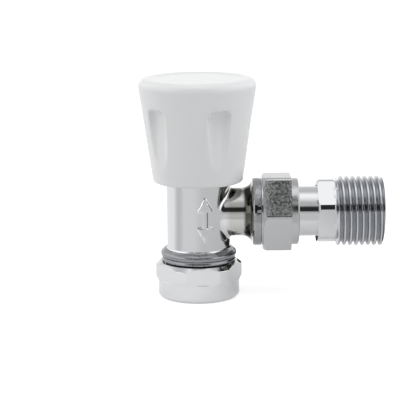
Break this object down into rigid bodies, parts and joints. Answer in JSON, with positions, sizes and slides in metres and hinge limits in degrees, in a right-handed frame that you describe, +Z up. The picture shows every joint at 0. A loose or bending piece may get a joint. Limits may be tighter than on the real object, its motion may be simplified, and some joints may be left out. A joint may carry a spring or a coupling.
{
  "type": "angled radiator valve",
  "caption": "Chrome-plated angled radiator valve, 15 mm compression inlet, 1/2 inch BSP tail, white wheelhead, with headwork, jumper and olives inside.",
  "frame": {"origin": "on the pipe's axis, at the foot of the inlet nut", "axes": "+Z up the barrel to the wheelhead, +X out along the radiator tail"},
  "size_m": [0.0733, 0.0356, 0.0664],
  "materials": {
    "chrome_plate": "polished chrome plate on forged and turned brass",
    "brass": "turned",
    "white_plastic": "glossy moulded ABS",
    "rubber": "moulded",
    "ptfe": "turned PTFE",
    "fibre": "pressed vulcanised fibre",
    "spring_steel": "drawn wire and strip"
  },
  "bodies": {
    "valve": {"valve_body": "chrome_plate", "bonnet": "brass", "bonnet_seal": "fibre", "gland_washer": "brass", "gland_packing": "ptfe", "gland_follower": "brass", "gland_nut": "brass"},
    "jumper_unit": {"jumper": "brass", "jumper_clip": "spring_steel", "seat_washer": "rubber", "washer_plate": "spring_steel", "washer_screw": "brass"},
    "wheel_unit": {"spindle": "brass", "wheelhead": "white_plastic", "hub_ring": "spring_steel"},
    "inlet_ring": {"inlet_olive": "brass"},
    "inlet_fastening": {"inlet_nut": "chrome_plate"},
    "outlet_ring": {"outlet_olive": "brass"},
    "union_fastening": {"union_nut": "chrome_plate"},
    "tail": {"radiator_tail": "chrome_plate"}
  },
  "joints": [
    {"name": "spindle_rise", "type": "slide", "parent": "valve", "child": "jumper_unit", "axis": [0, 0, 1], "range_m": [0, 0.004]},
    {"name": "wheel_turn", "type": "hinge", "parent": "jumper_unit", "child": "wheel_unit", "pos_m": [0, 0, 0.05], "axis": [0, 0, 1], "range_deg": [0, 900]},
    {"name": "inlet_nut_travel", "type": "slide", "parent": "valve", "child": "inlet_ring", "axis": [0, 0, -1], "range_m": [0, 0.005]},
    {"name": "inlet_nut_turn", "type": "hinge", "parent": "inlet_ring", "child": "inlet_fastening", "pos_m": [0, 0, 0], "axis": [0, 0, -1], "range_deg": [0, 990]},
    {"name": "union_nut_travel", "type": "slide", "parent": "valve", "child": "outlet_ring", "axis": [1, 0, 0], "range_m": [0, 0.0051]},
    {"name": "union_nut_turn", "type": "hinge", "parent": "outlet_ring", "child": "union_fastening", "pos_m": [0.025, 0, 0.0256], "axis": [1, 0, 0], "range_deg": [0, 1220]},
    {"name": "tail_swivel", "type": "hinge", "parent": "valve", "child": "tail", "pos_m": [0.036, 0, 0.0256], "axis": [1, 0, 0], "continuous": true}
  ],
  "couplings": [
    {"joint": "spindle_rise", "follows": "wheel_turn", "m_per_rad": 0.00025464},
    {"joint": "inlet_nut_travel", "follows": "inlet_nut_turn", "m_per_rad": 0.00028871},
    {"joint": "union_nut_travel", "follows": "union_nut_turn", "m_per_rad": 0.00023873}
  ]
}
